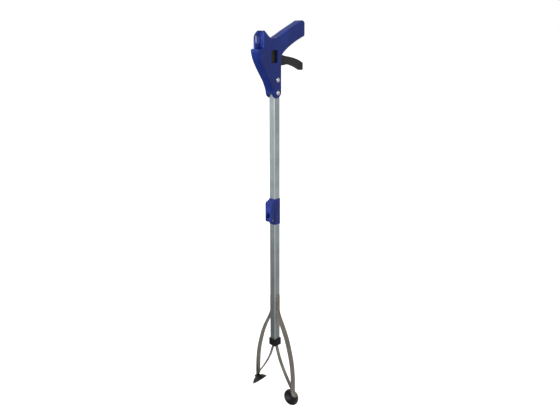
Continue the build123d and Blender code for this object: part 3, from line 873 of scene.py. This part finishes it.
def cup_piece(name):
    """Suction cup: collar, bell with concentric ribs, thin lip, and rings inside."""
    top = ARM_THICK / 2
    outside = smooth_line(
        [(6.5, 2.4), (6.6, 3.2), (8.2, 4.3), (10.8, 5.6), (13.0, 7.3), (13.6, 8.3), (14.2, 8.4),
         (15.8, 9.9), (16.4, 11.0), (17.0, 11.2), (18.0, 12.7), (18.7, 14.1), (18.98, 14.75)], 5)
    inside = smooth_line(
        [(18.5, 14.9), (16.8, 13.4), (14.9, 11.9), (14.0, 11.8), (13.3, 10.9), (10.6, 9.4), (9.6, 9.4),
         (8.9, 8.5), (5.0, 7.4), (0, 7.0)], 5)
    profile = [(0, top), (5.6, top), (6.3, top + 0.35), (6.5, 1.6)] + outside + inside
    return revolve(name, profile, cup_place(), 72)


def cup_rivet_piece(name):
    """Small domed rivet through the foot and the cup's collar."""
    face = -ARM_THICK / 2
    profile = [
        (0, face - 0.75), (0.9, face - 0.72), (1.1, face - 1.15), (2.0, face - 1.05), (2.8, face - 0.65),
        (3.3, face - 0.2), (3.35, face), (1.6, face), (1.6, 3.4), (0, 3.4),
    ]
    return revolve(name, profile, cup_place(), 40)


for side, tag in ((1, "far"), (-1, "near")):
    pieces = {
        "arm": arm_piece(f"{tag}_arm_strip"),
        "inner": inner_strip_piece(f"{tag}_pull_strip"),
        "cup": cup_piece(f"{tag}_cup"),
        "stud": cup_rivet_piece(f"{tag}_cup_stud"),
    }
    if side < 0:
        for obj in pieces.values():
            obj.data.transform(Matrix.Scale(-1, 4, (0, 1, 0)))
            obj.data.flip_normals()
            clean(obj, 40)
    dress(pieces["arm"], SPRING, None, [f"{tag}_arm_root", f"{tag}_outer_arm"])
    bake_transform(pieces["arm"])
    dress(pieces["inner"], SPRING, f"{tag}_strip", [f"{tag}_inner_strip"])
    dress(pieces["cup"], rubber(f"{tag}_rubber"), f"{tag}_jaw", [f"{tag}_suction_cup"])
    dress(pieces["stud"], SPRING, f"{tag}_jaw", [f"{tag}_cup_rivet"])
    rivets = side_rivets(f"{tag}_arm_rivet_set", ARM_RIVETS, 9.1, 3.6, 1.4, 2.3, (side,))
    dress(rivets, STEEL, "lower_section", [f"{tag}_arm_rivets"])


# ---- cable across the fold -------------------------------------------------------------------

def cable_piece():
    """Steel cable with a twisted surface, straight for use."""
    verts, faces = [], []
    rings, around, radius = 300, 18, 0.8
    top, bottom = -318.0, -442.0
    strands, pitch = 6, 2.2
    for i in range(rings + 1):
        z = top + (bottom - top) * i / rings
        for k in range(around):
            turn = 2 * math.pi * k / around
            lay = 1 + 0.1 * math.cos(strands * turn + 2 * math.pi * z / pitch)
            verts.append((radius * lay * math.cos(turn), radius * lay * math.sin(turn), z))
    for i in range(rings):
        for k in range(around):
            a, b = i * around + k, i * around + (k + 1) % around
            faces.append((a, b, b + around, a + around))
    faces.append(tuple(range(around)))
    faces.append(tuple(range(rings * around, (rings + 1) * around)))
    return mesh_object("cable_over_fold", verts, faces, 60)


# The cable leaves the upper block and enters the lower one where the two blocks meet.
cable = dress(cable_piece(), STEEL, None, ["fold_cable"])
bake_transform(cable)


# ---- camera, light, floor --------------------------------------------------------------------

def white_floor(lowest):
    """Plain pale floor that glows enough to stay white far away, and keeps only a faint shadow."""
    size, gap = 40, 0.0006
    bpy.ops.mesh.primitive_plane_add(size=size, location=(0, 0, lowest - gap))
    floor = bpy.context.object
    floor.name = "floor"
    material, tree, shader, coords = start_material("pale_floor", Roughness=0.95)
    shader.inputs["Emission Color"].default_value = (1, 1, 1, 1)
    shader.inputs["Emission Strength"].default_value = 0.82
    cloud = noise_node(tree, coords, 3.0)
    colour = ramp(tree, cloud, [(0.3, (0.6, 0.6, 0.6, 1)), (0.7, (0.64, 0.64, 0.64, 1))])
    tree.links.new(colour, shader.inputs["Base Color"])
    floor.data.materials.append(material)
    floor.visible_diffuse = False
    floor.visible_glossy = False


def studio_world():
    """White sweep behind the object; dim soft light all round, brighter from the left rear."""
    world = bpy.data.worlds.new("studio")
    scene.world = world
    world.use_nodes = True
    tree = world.node_tree
    ambient = tree.nodes["Background"]
    ambient.inputs["Color"].default_value = (1, 1, 1, 1)
    direction = add_node(tree, "ShaderNodeTexCoord").outputs["Generated"]

    def towards(x, y, z, low, high, source):
        facing = add_node(tree, "ShaderNodeVectorMath", operation="DOT_PRODUCT")
        tree.links.new(direction, facing.inputs[0])
        facing.inputs[1].default_value = Vector((x, y, z)).normalized()
        return spread(tree, facing.outputs["Value"], low, high, source)

    left = towards(-1, 1, 0, 0.0, 1.0, (0.1, 0.85))
    raised = towards(0, 0, 1, 0.0, 0.85, (-0.36, -0.06))
    window = add_node(tree, "ShaderNodeMath", operation="MULTIPLY")
    tree.links.new(left, window.inputs[0])
    tree.links.new(raised, window.inputs[1])
    sides = towards(1, -1, 0, 0.2, 0.62, (-0.6, 0.8))
    total = add_node(tree, "ShaderNodeMath", operation="ADD")
    tree.links.new(window.outputs[0], total.inputs[0])
    tree.links.new(sides, total.inputs[1])
    tree.links.new(total.outputs[0], ambient.inputs["Strength"])
    backdrop = add_node(tree, "ShaderNodeBackground", Color=(1, 1, 1, 1), Strength=1.0)
    choose = add_node(tree, "ShaderNodeMixShader")
    tree.links.new(add_node(tree, "ShaderNodeLightPath").outputs["Is Camera Ray"], choose.inputs[0])
    tree.links.new(ambient.outputs[0], choose.inputs[1])
    tree.links.new(backdrop.outputs[0], choose.inputs[2])
    tree.links.new(choose.outputs[0], tree.nodes["World Output"].inputs["Surface"])


def soft_lights():
    """Three square lamps: name, place from the object's middle, size and power."""
    middle = (CAD_BOX[0] + CAD_BOX[1]) / 2
    lamps = [
        ("key", (-2.2, -0.2, 1.0), 1.2, 28), ("front", (-1.7, -1.9, 0.9), 0.5, 12),
        ("rim", (1.9, 1.5, 0.8), 1.0, 5),
    ]
    for name, offset, size, power in lamps:
        data = bpy.data.lights.new(name, "AREA")
        data.size = size
        data.energy = power
        lamp = bpy.data.objects.new(name, data)
        lamp.location = middle + Vector(offset)
        lamp.rotation_mode = "QUATERNION"
        lamp.rotation_quaternion = (middle - lamp.location).to_track_quat("-Z", "Y")
        scene.collection.objects.link(lamp)


def make_camera():
    """Eye at the height of the ear, 1.29 m away, looking 16 degrees down."""
    turn, pitch, distance, shift = math.radians(-45), math.radians(16.08), 1290.0, 11.4
    forward = Vector((-math.sin(turn), math.cos(turn), 0))
    right = Vector((forward.y, -forward.x, 0))
    data = bpy.data.cameras.new("camera")
    data.sensor_width = 36.0
    data.lens = 39.857
    camera = bpy.data.objects.new("camera", data)
    place = right * shift - forward * distance
    camera.location = at(place.x, place.y, 0)
    look = forward * math.cos(pitch) - Vector((0, 0, math.sin(pitch)))
    camera.rotation_mode = "QUATERNION"
    camera.rotation_quaternion = look.to_track_quat("-Z", "Y")
    scene.collection.objects.link(camera)
    scene.camera = camera


white_floor(CAD_BOX[0].z)
studio_world()
soft_lights()
make_camera()
scene.view_settings.view_transform = "Standard"
